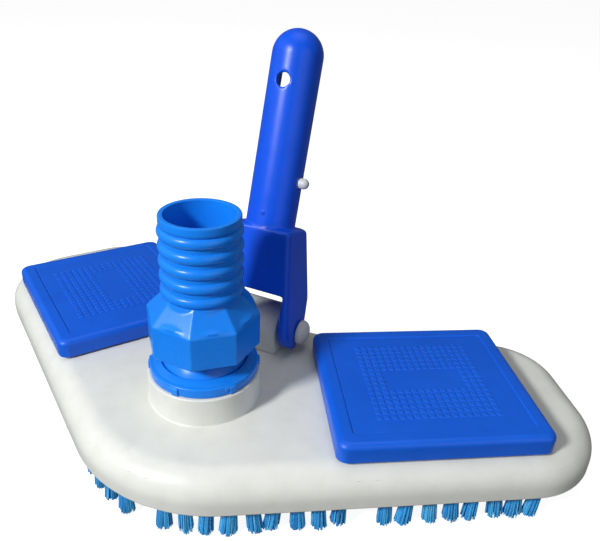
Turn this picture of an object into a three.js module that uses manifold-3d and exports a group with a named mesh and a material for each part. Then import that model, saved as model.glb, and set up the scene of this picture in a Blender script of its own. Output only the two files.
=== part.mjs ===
// Swept-wing pool suction and brush head: hollow base, two weighted covers, a hose swivel and a
// forked pole handle. Millimetres, +Z up. The origin is the centre of the footprint on the floor.
import * as THREE from "three";
import { mergeVertices } from "three/addons/utils/BufferGeometryUtils.js";
import Module from "manifold-3d";

const wasm = await Module();
wasm.setup();

// ---------------------------------------------------------------- driving dimensions
const GAP = 0.3; // clearance between pieces that touch
const CUT = 1; // how far a cutting tool runs past the face that it opens
const FAR = 40; // reach of a cutting tool that passes right through a piece

// Base. Plan sizes are measured from the swivel axis, heights from the base's flat top.
const TOP_Z = 36; // flat top above the floor
const BASE_H = 20.7; // flat top down to the rim
const SWEEP = THREE.MathUtils.degToRad(31.76); // each leading edge against the span
const LEAD_V = 69; // swivel axis to each leading edge
const TIP_U = 209.5; // swivel axis to each tip edge
const NOSE_R = 85;
const LEAD_R = 45; // corner between leading edge and tip
const TAIL_R = 38; // corner between tip and trailing edge
const REAR_Y = 88; // swivel axis to the middle of the trailing edge
const REAR_R = 200; // hollow curve of the trailing edge
const EDGE_R = 14; // rounded top edge
const RIM_R = 1.2;
const WALL = 2.5;
const ROOF = 3;
const RIB_DROP = 9; // flat top down to the foot of the stiffening ribs
const RIB_WIDTH = 2;

// Weighted covers, centred in wing coordinates: u out along the leading edge, v back from it.
const COVER = { u: 118.1, v: -11.9, length: 110, width: 98.5, foot: 1.3, top: 12.2 };
const COVER_CORNER_R = 5.5;
const COVER_EDGE_R = 3.5;
const COVER_WALL = 2.5;
const PANEL_MARGIN = 8.5; // edge of the cover to the recessed panel
const PANEL_DEPTH = 0.4;
const PAD_H = 1; // raised seat under each cover
const PAD_MARGIN = 3;
const WEIGHT_H = 7.4;
const BOSS_INSET = 10.5; // cover edge to each corner boss
const BOSS_R = 4.2;

// Swivel, heights from the base's flat top.
const COLLAR_R = 30;
const COLLAR_BORE_R = 27.5;
const COLLAR_TOP = 16.5;
const CUP_FLOOR = -10.5;
const CUP_BASE = -14;
const THROAT_R = 18;
const LINER_R = 27.1; // pieces that sit inside the collar
const SEAL = { inner: 19.5, outer: 26.8, height: 1.6 };
const SEAT_DROP = 5; // ball centre down to the top of its seat
const BALL_PLAY = 0.5;
const BALL_R = 25;
const BALL_Z = 11;
const BALL_WALL = 2.6;
const BALL_CUT = 18.5; // ball centre down to its flat mouth
const STEM_R = 17.5;
const STEM_TOP = 49;
const STEM_PLAY = 0.6;
const BEAD = 0.5; // snap bead round the stem
const RING_R = 28.5;
const RING_TOP = 21.8;
const RING_MOUTH_R = 22.2;
const RING_LIP_Z = 24.2;
const RING_FOOT = 6.6;
const GRIP = { count: 6, width: 4.6, depth: 3, turn: 2.6 }; // finger grips round the lock ring
const FLARE = { foot: 33.3, shoulder: 51.8, top: 60.8, radius: 29.5, neck: 20.8 };
const FLARE_TURN = THREE.MathUtils.degToRad(21.3); // first corner, from the nose towards +X
const SPIGOT_TOP = 104.4;
const SPIGOT_R = 20;
const RIB_R = 20.9;
const GROOVE_R = 19.2;
const FLARE_POCKET = { inner: 21, outer: 25, roof: 47.8 };
const RIB_Z = 65.4;
const RIB_PITCH = 7.75;
const RIBS = 5;
const BORE_R = 17.4;

// Handle, about its pivot pin; its own frame has z along the tube and y towards the back.
const PIN = { y: 61.4, z: 11.4, radius: 3.9, hole: 4.2, head: 7.5, dome: 5.5 };
const TILT = THREE.MathUtils.degToRad(17.05); // handle leaning back
const LUG_R = 14.5;
const LUG_HALF = 17.5;
const LUG_BOSS = 20.6;
const LUG_SCREW_X = 11;
const LUG_SCREW_SEAT = { radius: 5, z: -5 };
const TUBE = { y: -7.56, radius: 14.6, bore: 11.4, dome: 157.1 };
const FORK = { shoulder: 61, shoulderHalf: 19.5, pinHalf: 27, gapHalf: 21, bridge: 23.5 };
const FOOT = { y: -3.5, z: 6.5, radius: 16.6 }; // round lower end of each fork arm
const BUTTON = { z: 88.1, radius: 3.1, hole: 3.5, flange: 4.5, proud: 5.3 };
const CORD_HOLE = { z: 142.2, radius: 4 };
const CORD_WINDOW = { low: 127, high: 154 }; // back of the tube open behind the cord hole
const CLIP = { half: 8.3, thick: 0.8, width: 8, top: 95, bend: 68 };

// Pan-head screws, and the holes for them.
const SCREW = { headR: 4, headH: 2.4, shankR: 1.7, length: 10, clearR: 2.3, pilotR: 2 };
const STRIP_SCREW = { headR: 2.7, headH: 1.6, shankR: 1.2, length: 9, clearR: 1.6 };
const STRIP_BOSS_R = 3;

// Brushes: distances run along a line at BRUSH_INSET inside the rim, from the nose.
const BRUSH_INSET = 6;
const BRISTLE_TIP = -TOP_Z; // bristles reach the floor
const STRIP = { top: -14.5, foot: -18.5, width: 6 };
const WEB = { top: -18.8, foot: -20.2, width: 5 };
const STRIP_END = 11.4; // last tuft to the end of its strip
const SCREW_END = 4.6; // screw to the end of its strip
const FRONT_JOINT = 3; // the two inner strips meet this far to the right of the nose
const TUFT = { root: 3.7, tip: 4.9, rootDepth: 2.3, tipDepth: 3.9 };
const INNER = { tufts: 9, pitch: 10.7 };
const OUTER = { tufts: 8, pitch: 11.2 };
const REAR = { tufts: 10, pitch: 10.9, start: 9 };

// ---------------------------------------------------------------- shapes
const ROUND = 24; // facets round a large turned piece
const SMALL = 12; // and round a small one
const HOLE = 8; // and round a screw or its hole

// A closed geometry as a solid facing out.
function solid(geometry) {
  const bare = geometry.clone();
  bare.deleteAttribute("normal");
  bare.deleteAttribute("uv");
  const merged = mergeVertices(bare, 1e-4);
  const corners = merged.index.array;
  const faces = [];
  for (let i = 0; i < corners.length; i += 3) {
    const [a, b, c] = corners.slice(i, i + 3);
    if (a !== b && b !== c && c !== a) faces.push(a, b, c);
  }
  const build = (triVerts) =>
    new wasm.Manifold(
      new wasm.Mesh({
        numProp: 3,
        vertProperties: merged.attributes.position.array,
        triVerts: new Uint32Array(triVerts),
      }),
    );
  const made = build(faces);
  if (made.volume() > 0) return made;
  for (let i = 0; i < faces.length; i += 3) {
    [faces[i], faces[i + 1]] = [faces[i + 1], faces[i]];
  }
  return build(faces);
}

function join(first, ...rest) {
  return rest.reduce((sum, each) => sum.add(each), first);
}

function cut(first, ...rest) {
  return rest.reduce((left, each) => left.subtract(each), first);
}

const toShape = (points) => new THREE.Shape(points.map(([x, y]) => new THREE.Vector2(x, y)));

function prismGeometry(points, low, high) {
  const options = { depth: high - low, bevelEnabled: false, curveSegments: 12 };
  return new THREE.ExtrudeGeometry(toShape(points), options).translate(0, 0, low);
}

const prism = (points, low, high) => solid(prismGeometry(points, low, high));

// Extruded along X: the points are (y, z).
function prismX(points, low, high) {
  const flat = prismGeometry(points, low, high);
  const turn = new THREE.Matrix4().set(0, 0, 1, 0, 1, 0, 0, 0, 0, 1, 0, 0, 0, 0, 0, 1);
  return solid(flat.applyMatrix4(turn));
}

// Extruded along Y: the points are (x, z).
function prismY(points, low, high) {
  const flat = prismGeometry(points, low, high);
  const turn = new THREE.Matrix4().set(1, 0, 0, 0, 0, 0, 1, 0, 0, 1, 0, 0, 0, 0, 0, 1);
  return solid(flat.applyMatrix4(turn));
}

// A profile of (radius, height) turned about Z; it is closed here when it does not reach the axis.
function turned(profile, segments = ROUND) {
  const points = profile.map(([r, z]) => new THREE.Vector2(r, z));
  const first = points[0];
  const last = points[points.length - 1];
  if (first.x > 0 || last.x > 0) points.push(first.clone());
  return solid(new THREE.LatheGeometry(points, segments).rotateX(Math.PI / 2));
}

const rod = (radius, low, high, segments = SMALL) =>
  turned([[0, low], [radius, low], [radius, high], [0, high]], segments);

function box(sizeX, sizeY, sizeZ, x, y, z) {
  return solid(new THREE.BoxGeometry(sizeX, sizeY, sizeZ).translate(x, y, z));
}

const moved = (body, x, y, z) => body.translate([x, y, z]);
const alongX = (body) => body.rotate([0, 90, 0]);
const alongY = (body) => body.rotate([-90, 0, 0]);

function arc(cx, cy, radius, from, to, steps) {
  const points = [];
  for (let i = 0; i <= steps; i++) {
    const angle = from + ((to - from) * i) / steps;
    points.push([cx + radius * Math.cos(angle), cy + radius * Math.sin(angle)]);
  }
  return points;
}

// Walls through rings of equal length, closed by a flat cap at each end.
function loft(rings) {
  const count = rings[0].points.length;
  const position = rings.flatMap(({ points, z }) => points.flatMap(([x, y]) => [x, y, z]));
  const index = [];
  for (let r = 0; r + 1 < rings.length; r++) {
    for (let i = 0; i < count; i++) {
      const a = r * count + i;
      const b = r * count + ((i + 1) % count);
      index.push(a, b, b + count, a, b + count, a + count);
    }
  }
  const cap = (ring, flip) => {
    const contour = rings[ring].points.map(([x, y]) => new THREE.Vector2(x, y));
    for (const [a, b, c] of THREE.ShapeUtils.triangulateShape(contour, [])) {
      const face = flip ? [c, b, a] : [a, b, c];
      index.push(...face.map((corner) => corner + ring * count));
    }
  };
  cap(0, true);
  cap(rings.length - 1, false);
  const geometry = new THREE.BufferGeometry();
  geometry.setAttribute("position", new THREE.Float32BufferAttribute(position, 3));
  geometry.setIndex(index);
  return solid(geometry);
}

function roundedRectangle(length, width, radius, steps = 4) {
  const x = length / 2 - radius;
  const y = width / 2 - radius;
  const quarter = Math.PI / 2;
  return [
    ...arc(x, y, radius, 0, quarter, steps),
    ...arc(-x, y, radius, quarter, 2 * quarter, steps),
    ...arc(-x, -y, radius, 2 * quarter, 3 * quarter, steps),
    ...arc(x, -y, radius, 3 * quarter, 4 * quarter, steps),
  ];
}

// ---------------------------------------------------------------- plan of the base
const alongWing = ([u, v]) => [
  u * Math.cos(SWEEP) - v * Math.sin(SWEEP),
  u * Math.sin(SWEEP) + v * Math.cos(SWEEP),
];
const noseCentre = [0, (NOSE_R - LEAD_V) / Math.cos(SWEEP)];
const leadCentre = alongWing([TIP_U - LEAD_R, LEAD_R - LEAD_V]);
const rearCentre = [0, REAR_Y + REAR_R];

// The tail corner touches the tip edge from inside and the hollow rear curve from outside.
function findTailCentre() {
  const u = TIP_U - TAIL_R;
  const reach = REAR_R + TAIL_R;
  const rearU = rearCentre[1] * Math.sin(SWEEP);
  const rearV = rearCentre[1] * Math.cos(SWEEP);
  return alongWing([u, rearV - Math.sqrt(reach ** 2 - (rearU - u) ** 2)]);
}
const tailCentre = findTailCentre();
const tailTurn = Math.atan2(rearCentre[1] - tailCentre[1], rearCentre[0] - tailCentre[0]);
const APEX_Y = noseCentre[1] - NOSE_R;
const TAIL_Y = tailCentre[1] + TAIL_R;
const SWIVEL_Y = -(APEX_Y + TAIL_Y) / 2;

// Right half of the outline from the nose to the middle of the trailing edge.
function halfOutline(inset, fine = 1) {
  const quarter = Math.PI / 2;
  return [
    ...arc(...noseCentre, NOSE_R - inset, -quarter, SWEEP - quarter, 6 * fine),
    ...arc(...leadCentre, LEAD_R - inset, SWEEP - quarter, SWEEP, 8 * fine),
    ...arc(...tailCentre, TAIL_R - inset, SWEEP, tailTurn, 7 * fine),
    ...arc(...rearCentre, REAR_R + inset, tailTurn - Math.PI, -quarter, 6 * fine),
  ];
}

function outline(inset) {
  const right = halfOutline(inset);
  const left = right.slice(1, -1).map(([x, y]) => [-x, y]);
  return [...right, ...left.reverse()];
}

// A point and its direction of travel at a distance along the brush line; side -1 is the left half.
const brushLine = halfOutline(BRUSH_INSET, 4);
function onBrushLine(distance, side) {
  let left = Math.abs(distance);
  const half = distance < 0 ? -side : side;
  for (let i = 0; i + 1 < brushLine.length; i++) {
    const [x0, y0] = brushLine[i];
    const [x1, y1] = brushLine[i + 1];
    const step = Math.hypot(x1 - x0, y1 - y0);
    if (left <= step) {
      const t = left / step;
      const ahead = distance < 0 ? -1 : 1;
      const turn = Math.atan2(ahead * (y1 - y0), ahead * half * (x1 - x0));
      return { x: half * (x0 + t * (x1 - x0)), y: y0 + t * (y1 - y0), turn };
    }
    left -= step;
  }
  throw new Error("the brush line is shorter than " + distance);
}
const brushLength = brushLine
  .slice(1)
  .reduce((sum, [x, y], i) => sum + Math.hypot(x - brushLine[i][0], y - brushLine[i][1]), 0);

// A bar of constant width that follows the brush line.
function brushBar(from, to, side, width, low, high) {
  const outer = [];
  const inner = [];
  const steps = Math.ceil((to - from) / 9);
  for (let i = 0; i <= steps; i++) {
    const { x, y, turn } = onBrushLine(from + ((to - from) * i) / steps, side);
    const nx = (-Math.sin(turn) * width) / 2;
    const ny = (Math.cos(turn) * width) / 2;
    outer.push([x + nx, y + ny]);
    inner.push([x - nx, y - ny]);
  }
  return prism([...outer, ...inner.reverse()], low, high);
}

// ---------------------------------------------------------------- brush layout
function sideName(side) {
  return side > 0 ? "right" : "left";
}

function frontStrips(side) {
  const name = sideName(side);
  const start = FRONT_JOINT * side;
  const innerEnd = start + 2 * STRIP_END + (INNER.tufts - 1) * INNER.pitch;
  return [
    { name: "front_inner_" + name, side, start, ...INNER },
    { name: "front_outer_" + name, side, start: innerEnd, ...OUTER },
  ];
}

function rearStrip(side) {
  const length = 2 * STRIP_END + (REAR.tufts - 1) * REAR.pitch;
  const start = brushLength - REAR.start - length;
  return { name: "rear_" + sideName(side), side, ...REAR, start };
}

const strips = [1, -1].flatMap((side) => [...frontStrips(side), rearStrip(side)]);
for (const strip of strips) {
  strip.end = strip.start + 2 * STRIP_END + (strip.tufts - 1) * strip.pitch;
  strip.screws = [strip.start + SCREW_END, strip.end - SCREW_END];
}

// ---------------------------------------------------------------- materials
const plastic = (color, roughness) => new THREE.MeshStandardMaterial({ color, roughness });
const white = plastic(0xe9eae4, 0.32);
const coverBlue = plastic(0x1650c8, 0.36);
const swivelBlue = plastic(0x1a72dd, 0.3);
const handleBlue = plastic(0x1148c0, 0.36);
const bristleBlue = plastic(0x2a78cc, 0.6);
const stripBlue = plastic(0x1d55b8, 0.5);
const nylon = plastic(0xd8d9d8, 0.4);
const rubber = plastic(0x1b1c1e, 0.8);
const steel = new THREE.MeshStandardMaterial({ color: 0xb9bcc0, roughness: 0.3, metalness: 1 });
const iron = new THREE.MeshStandardMaterial({ color: 0x55585c, roughness: 0.7, metalness: 0.8 });

// ---------------------------------------------------------------- base and brushes
const coverPlan = (margin) =>
  roundedRectangle(COVER.length - 2 * margin, COVER.width - 2 * margin, COVER_CORNER_R);

// A body built about a cover's centre, moved to its place on the left or right wing.
function onWing(body, side) {
  const turn = THREE.MathUtils.radToDeg(SWEEP) * side;
  const [x, y] = alongWing([COVER.u, COVER.v]);
  return moved(body.rotate([0, 0, turn]), side * x, y, 0);
}

const coverCorners = [1, -1].flatMap((i) =>
  [1, -1].map((j) => [i * (COVER.length / 2 - BOSS_INSET), j * (COVER.width / 2 - BOSS_INSET)]),
);

function domedRings(inset, top, radius, steps) {
  const rings = [];
  for (let i = 0; i <= steps; i++) {
    const angle = (Math.PI / 2) * (i / steps);
    const z = top - radius + radius * Math.sin(angle);
    rings.push({ points: outline(inset + radius * (1 - Math.cos(angle))), z });
  }
  return rings;
}

function baseShell() {
  const outside = loft([
    { points: outline(RIM_R), z: -BASE_H },
    { points: outline(0), z: RIM_R - BASE_H },
    ...domedRings(0, 0, EDGE_R, 4),
  ]);
  const inside = loft([
    { points: outline(WALL), z: -BASE_H - CUT },
    ...domedRings(WALL, -ROOF, EDGE_R - ROOF, 3),
  ]);
  return cut(outside, inside);
}

// An upright rod at a cover's corner on both wings.
function atCoverCorners(radius, low, high) {
  const upright = ([u, v]) => moved(rod(radius, low, high, HOLE), u, v, 0);
  return [1, -1].flatMap((side) => coverCorners.map((corner) => onWing(upright(corner), side)));
}

// An upright rod at each strip screw.
function atStripScrews(radius, low, high) {
  return strips.flatMap((strip) =>
    strip.screws.map((at) => {
      const { x, y } = onBrushLine(at, strip.side);
      return moved(rod(radius, low, high, HOLE), x, y, 0);
    }),
  );
}

// An upright rod at each lug screw.
function atLugScrews(radius, low, high) {
  return [1, -1].map((side) => moved(rod(radius, low, high, HOLE), side * LUG_SCREW_X, PIN.y, 0));
}

// A rib under the roof from the swivel cup to the tip of a wing.
function wingRib(side) {
  const length = TIP_U - COLLAR_R - EDGE_R;
  const middle = COLLAR_R + length / 2 - COVER.u;
  return onWing(box(length, RIB_WIDTH, RIB_DROP - 1, side * middle, 0, -(RIB_DROP + 1) / 2), side);
}

function baseHousing() {
  const whole = join(
    baseShell(),
    rod(COLLAR_R, CUP_BASE, COLLAR_TOP, ROUND),
    ...[1, -1].map((side) => onWing(prism(coverPlan(PAD_MARGIN), -CUT, PAD_H), side)),
    ...[1, -1].map(wingRib),
    ...atStripScrews(STRIP_BOSS_R, STRIP.top + GAP, -ROOF - 2),
    ...atLugScrews(LUG_SCREW_SEAT.radius, LUG_SCREW_SEAT.z, -CUT),
  );
  return cut(
    whole,
    ...atCoverCorners(SCREW.clearR, -ROOF - CUT, PAD_H + CUT),
    ...atStripScrews(STRIP_SCREW.clearR, STRIP.top - CUT, STRIP.foot + STRIP_SCREW.length + 1.3),
    ...atLugScrews(SCREW.clearR, LUG_SCREW_SEAT.z - CUT, CUT),
    rod(COLLAR_BORE_R, CUP_FLOOR, COLLAR_TOP + CUT, ROUND),
    rod(THROAT_R, CUP_BASE - CUT, CUP_FLOOR + CUT, ROUND),
  );
}

// Pan-head screw pointing up, its head's seat at z = 0.
function screw({ headR, headH, shankR, length }) {
  const profile = [
    [0, -headH], [headR * 0.8, -headH], [headR, -headH * 0.5], [headR, -GAP],
    [shankR, -GAP], [shankR, length - shankR], [0, length],
  ];
  return turned(profile, HOLE);
}

function brushStrip({ start, end, side, screws }) {
  const bar = brushBar(start + GAP / 2, end - GAP / 2, side, STRIP.width, STRIP.foot, STRIP.top);
  const holes = screws.map((at) => {
    const { x, y } = onBrushLine(at, side);
    return moved(rod(STRIP_SCREW.clearR, STRIP.foot - CUT, STRIP.top + CUT, HOLE), x, y, 0);
  });
  return cut(bar, ...holes);
}

function tuft({ x, y, turn }) {
  const hexagon = arc(0, 0, 1, 0, (5 / 3) * Math.PI, 5);
  const ring = (along, across) => hexagon.map(([a, b]) => [a * along, b * across]);
  const body = loft([
    { points: ring(TUFT.root, TUFT.rootDepth), z: WEB.foot + 0.5 },
    { points: ring(TUFT.tip, TUFT.tipDepth), z: BRISTLE_TIP },
  ]);
  return moved(body.rotate([0, 0, THREE.MathUtils.radToDeg(turn)]), x, y, 0);
}

function bristles({ start, side, tufts, pitch }) {
  const first = start + STRIP_END;
  const last = first + (tufts - 1) * pitch;
  const web = brushBar(first - TUFT.root, last + TUFT.root, side, WEB.width, WEB.foot, WEB.top);
  const all = Array.from({ length: tufts }, (_, i) => tuft(onBrushLine(first + i * pitch, side)));
  return join(web, ...all);
}

// ---------------------------------------------------------------- covers and weights
function weightCover() {
  const rings = [{ points: coverPlan(0), z: COVER.foot }];
  for (let i = 0; i <= 3; i++) {
    const angle = (Math.PI / 2) * (i / 3);
    const inset = COVER_EDGE_R * (1 - Math.cos(angle));
    const corner = COVER_CORNER_R - inset * 0.8;
    rings.push({
      points: roundedRectangle(COVER.length - 2 * inset, COVER.width - 2 * inset, corner),
      z: COVER.top - COVER_EDGE_R + COVER_EDGE_R * Math.sin(angle),
    });
  }
  const roof = COVER.top - COVER_WALL;
  const hollow = prism(coverPlan(COVER_WALL), COVER.foot - CUT, roof);
  const panel = prism(coverPlan(PANEL_MARGIN), COVER.top - PANEL_DEPTH, COVER.top + CUT);
  const shell = cut(loft(rings), hollow, panel);
  const upright = (radius, low, high) =>
    coverCorners.map(([u, v]) => moved(rod(radius, low, high, HOLE), u, v, 0));
  const bosses = upright(BOSS_R, COVER.foot, roof + 0.5);
  const pilots = upright(SCREW.pilotR, COVER.foot - CUT, roof - CUT);
  return cut(join(shell, ...bosses), ...pilots);
}

function coverWeight() {
  const slab = prism(coverPlan(COVER_WALL + 1), COVER.foot, COVER.foot + WEIGHT_H);
  const notches = coverCorners.map(([u, v]) => {
    const reach = BOSS_INSET + BOSS_R + 1;
    const x = Math.sign(u) * (COVER.length / 2 - reach / 2);
    const y = Math.sign(v) * (COVER.width / 2 - reach / 2);
    return box(reach, reach, WEIGHT_H + 2 * CUT, x, y, COVER.foot + WEIGHT_H / 2);
  });
  return cut(slab, ...notches);
}

// ---------------------------------------------------------------- hose swivel
const ballPoint = (radius, z) => [Math.sqrt(Math.max(radius ** 2 - (z - BALL_Z) ** 2, 0)), z];

function sphereBand(radius, low, high, steps) {
  const height = (i) => low + ((high - low) * i) / steps;
  return Array.from({ length: steps + 1 }, (_, i) => ballPoint(radius, height(i)));
}

function ballSeal() {
  const low = CUP_FLOOR + GAP;
  const high = CUP_FLOOR + SEAL.height;
  return turned([[SEAL.inner, low], [SEAL.outer, low], [SEAL.outer, high], [SEAL.inner, high]]);
}

function ballSeat() {
  const low = CUP_FLOOR + SEAL.height + GAP;
  const high = BALL_Z - SEAT_DROP;
  const cup = sphereBand(BALL_R + BALL_PLAY, low, high, 4).reverse();
  return turned([...cup, [LINER_R, low], [LINER_R, high]]);
}

function swivelBall() {
  const mouth = BALL_Z - BALL_CUT;
  const neck = BALL_Z + Math.sqrt(BALL_R ** 2 - STEM_R ** 2);
  const stemBore = STEM_R - BALL_WALL;
  const innerNeck = BALL_Z + Math.sqrt((BALL_R - BALL_WALL) ** 2 - stemBore ** 2);
  return turned([
    ...sphereBand(BALL_R, mouth, neck, 8),
    [STEM_R, STEM_TOP - 5], [STEM_R + BEAD, STEM_TOP - 4], [STEM_R + BEAD, STEM_TOP - 2.5],
    [STEM_R - 0.6, STEM_TOP], [stemBore, STEM_TOP],
    ...sphereBand(BALL_R - BALL_WALL, mouth, innerNeck, 6).reverse(),
  ]);
}

function lockRing() {
  const ledge = COLLAR_TOP + GAP;
  const body = turned([
    [LINER_R, RING_FOOT], [LINER_R, ledge], [RING_R, ledge],
    [RING_R, RING_TOP - 1], [RING_R - 1, RING_TOP], [RING_MOUTH_R + 0.8, RING_LIP_Z],
    ...sphereBand(BALL_R + BALL_PLAY, RING_FOOT, RING_LIP_Z - 0.8, 5).reverse(),
  ]);
  const gripTop = RING_TOP - 0.8;
  const middle = (gripTop + ledge) / 2;
  const grips = Array.from({ length: GRIP.count }, (_, i) =>
    box(GRIP.width, GRIP.depth, gripTop - ledge, 0, -RING_R + 0.6, middle)
      .rotate([0, 0, GRIP.turn + (360 / GRIP.count) * i]),
  );
  return join(body, ...grips);
}

function octagonFlare() {
  const height = FLARE.shoulder - FLARE.foot;
  const skirt = new THREE.CylinderGeometry(FLARE.radius, FLARE.radius, height, 8);
  const slope = new THREE.CylinderGeometry(FLARE.neck, FLARE.radius, FLARE.top - FLARE.shoulder, 8);
  const upright = (geometry, z) =>
    solid(geometry.rotateX(Math.PI / 2).rotateZ(FLARE_TURN).translate(0, 0, z));
  return join(
    upright(skirt, FLARE.foot + height / 2),
    upright(slope, (FLARE.shoulder + FLARE.top) / 2),
  );
}

function ribbedProfile() {
  const profile = [[0, FLARE.top - 4], [GROOVE_R, FLARE.top - 4]];
  for (let i = 0; i < RIBS; i++) {
    const z = RIB_Z + i * RIB_PITCH;
    profile.push([GROOVE_R, z - 3.2], [RIB_R, z - 1.2], [RIB_R, z + 1.2], [GROOVE_R, z + 3.2]);
  }
  profile.push([SPIGOT_R, SPIGOT_TOP - 3.6], [SPIGOT_R, SPIGOT_TOP - 0.6]);
  profile.push([SPIGOT_R - 0.6, SPIGOT_TOP], [0, SPIGOT_TOP]);
  return profile;
}

function hoseConnector() {
  const outside = join(octagonFlare(), turned(ribbedProfile()));
  const socketR = STEM_R + STEM_PLAY;
  const beadR = socketR + BEAD;
  const stemBore = STEM_R - BALL_WALL;
  const socketTop = STEM_TOP + 0.5;
  const bore = turned([
    [0, FLARE.foot - CUT], [socketR, FLARE.foot - CUT],
    [socketR, STEM_TOP - 5.4], [beadR, STEM_TOP - 4.4], [beadR, STEM_TOP - 2], [socketR, STEM_TOP - 1],
    [socketR, socketTop], [stemBore, socketTop], [stemBore, socketTop + 1.5],
    [BORE_R, socketTop + 6], [BORE_R, SPIGOT_TOP + CUT], [0, SPIGOT_TOP + CUT],
  ]);
  const { inner, outer, roof } = FLARE_POCKET;
  const foot = FLARE.foot - CUT;
  return cut(outside, bore, turned([[inner, foot], [outer, foot], [outer, roof], [inner, roof]]));
}

// ---------------------------------------------------------------- pivot
function pivotLug() {
  const profile = [
    ...arc(PIN.y, PIN.z, LUG_R, 0, Math.PI, 16),
    [PIN.y - LUG_R, GAP], [PIN.y + LUG_R, GAP],
  ];
  const block = prismX(profile, -LUG_HALF, LUG_HALF);
  const boss = moved(alongX(rod(LUG_R / 2, -LUG_BOSS, LUG_BOSS)), 0, PIN.y, PIN.z);
  const bore = moved(alongX(rod(PIN.hole, -LUG_BOSS - CUT, LUG_BOSS + CUT)), 0, PIN.y, PIN.z);
  const pilots = atLugScrews(SCREW.pilotR, -CUT, LUG_SCREW_SEAT.z + SCREW.length + 1.2);
  return cut(join(block, boss), bore, ...pilots);
}

// Quarter-round profile of a domed end, from a straight edge 1 above its base up to the axis.
function domeProfile(radius, height, base, steps = 4) {
  const points = Array.from({ length: steps }, (_, i) => {
    const angle = (Math.PI / 2) * (i / steps);
    return [radius * Math.cos(angle), base + 1 + (height - 1) * Math.sin(angle)];
  });
  return [...points, [0, base + height]];
}

const PIN_SEAT = FORK.pinHalf + GAP; // outer face of each fork arm, with clearance

function pivotPin() {
  const tail = -PIN_SEAT - 2.6;
  const profile = [
    [0, tail], [PIN.radius - 0.6, tail], [PIN.radius, tail + 0.6], [PIN.radius, PIN_SEAT],
    [PIN.head, PIN_SEAT], ...domeProfile(PIN.head, PIN.dome, PIN_SEAT),
  ];
  return moved(alongX(turned(profile, SMALL)), 0, PIN.y, PIN.z);
}

function pinCap() {
  const profile = [
    [0, PIN_SEAT + 3], [PIN.hole, PIN_SEAT + 3], [PIN.hole, PIN_SEAT],
    [PIN.head, PIN_SEAT], ...domeProfile(PIN.head, PIN.dome, PIN_SEAT),
  ];
  return moved(alongX(turned(profile, SMALL)).mirror([1, 0, 0]), 0, PIN.y, PIN.z);
}

// ---------------------------------------------------------------- handle, in its own frame
function fork() {
  const side = prismX([
    [TUBE.y - TUBE.radius - 0.4, FORK.shoulder], [FOOT.y - FOOT.radius, FOOT.z + 1],
    ...arc(FOOT.y, FOOT.z, FOOT.radius, Math.PI, 2 * Math.PI, 12),
    [16, 19], [TUBE.y + TUBE.radius + 0.6, FORK.shoulder],
  ], -FAR, FAR);
  const front = prismY([
    [-FORK.shoulderHalf, FORK.shoulder], [-FORK.pinHalf, 0], [-FORK.pinHalf, -FAR],
    [FORK.pinHalf, -FAR], [FORK.pinHalf, 0], [FORK.shoulderHalf, FORK.shoulder],
  ], -FAR, FAR);
  const { gapHalf, bridge } = FORK;
  const gap = [[-gapHalf, -FAR], [-gapHalf, bridge], [gapHalf, bridge], [gapHalf, -FAR]];
  return cut(side.intersect(front), prismY(gap, -FAR, FAR));
}

// Half profile of a rod with a round end, turned about the tube's axis.
function domedRod(radius, low, steps) {
  const end = arc(0, TUBE.dome, radius, 0, Math.PI / 2, steps).slice(0, -1);
  return moved(turned([[0, low], [radius, low], ...end, [0, TUBE.dome + radius]]), 0, TUBE.y, 0);
}

function handle() {
  const height = CORD_WINDOW.high - CORD_WINDOW.low;
  return cut(
    join(fork(), domedRod(TUBE.radius, FORK.shoulder - 10, 6)),
    domedRod(TUBE.bore, FORK.bridge - CUT, 5),
    alongX(rod(PIN.hole, -FAR, FAR)),
    moved(alongX(rod(BUTTON.hole, 0, FAR)), 0, TUBE.y, BUTTON.z),
    moved(alongY(rod(CORD_HOLE.radius, -FAR, 0)), 0, TUBE.y, CORD_HOLE.z),
    box(2 * TUBE.bore, FAR, height, 0, TUBE.y + FAR / 2, CORD_WINDOW.low + height / 2),
  );
}

function snapButton() {
  const foot = CLIP.half + GAP;
  const profile = [
    [0, foot], [BUTTON.flange, foot], [BUTTON.flange, foot + 1.2], [BUTTON.radius, foot + 1.2],
    ...domeProfile(BUTTON.radius, BUTTON.radius, TUBE.radius + BUTTON.proud - BUTTON.radius),
  ];
  return moved(alongX(turned(profile, SMALL)), 0, TUBE.y, BUTTON.z);
}

function springClip() {
  const { half, thick, width, top, bend } = CLIP;
  const outside = [[half, top], ...arc(0, bend, half, 0, -Math.PI, 12), [-half, top]];
  const inner = half - thick;
  const inside = [[-inner, top], ...arc(0, bend, inner, -Math.PI, 0, 12), [inner, top]];
  return prismY([...outside, ...inside], TUBE.y - width / 2, TUBE.y + width / 2);
}

// ---------------------------------------------------------------- assembly
function mesh(name, body, material) {
  const { numProp, vertProperties, triVerts } = body.getMesh();
  const position = new Float32Array((vertProperties.length / numProp) * 3);
  for (let i = 0; i < position.length / 3; i++) {
    position.set(vertProperties.subarray(i * numProp, i * numProp + 3), i * 3);
  }
  const geometry = new THREE.BufferGeometry();
  geometry.setAttribute("position", new THREE.BufferAttribute(position, 3));
  geometry.setIndex(new THREE.BufferAttribute(triVerts, 1));
  geometry.computeVertexNormals();
  const made = new THREE.Mesh(geometry, material);
  made.name = name;
  return made;
}

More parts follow.
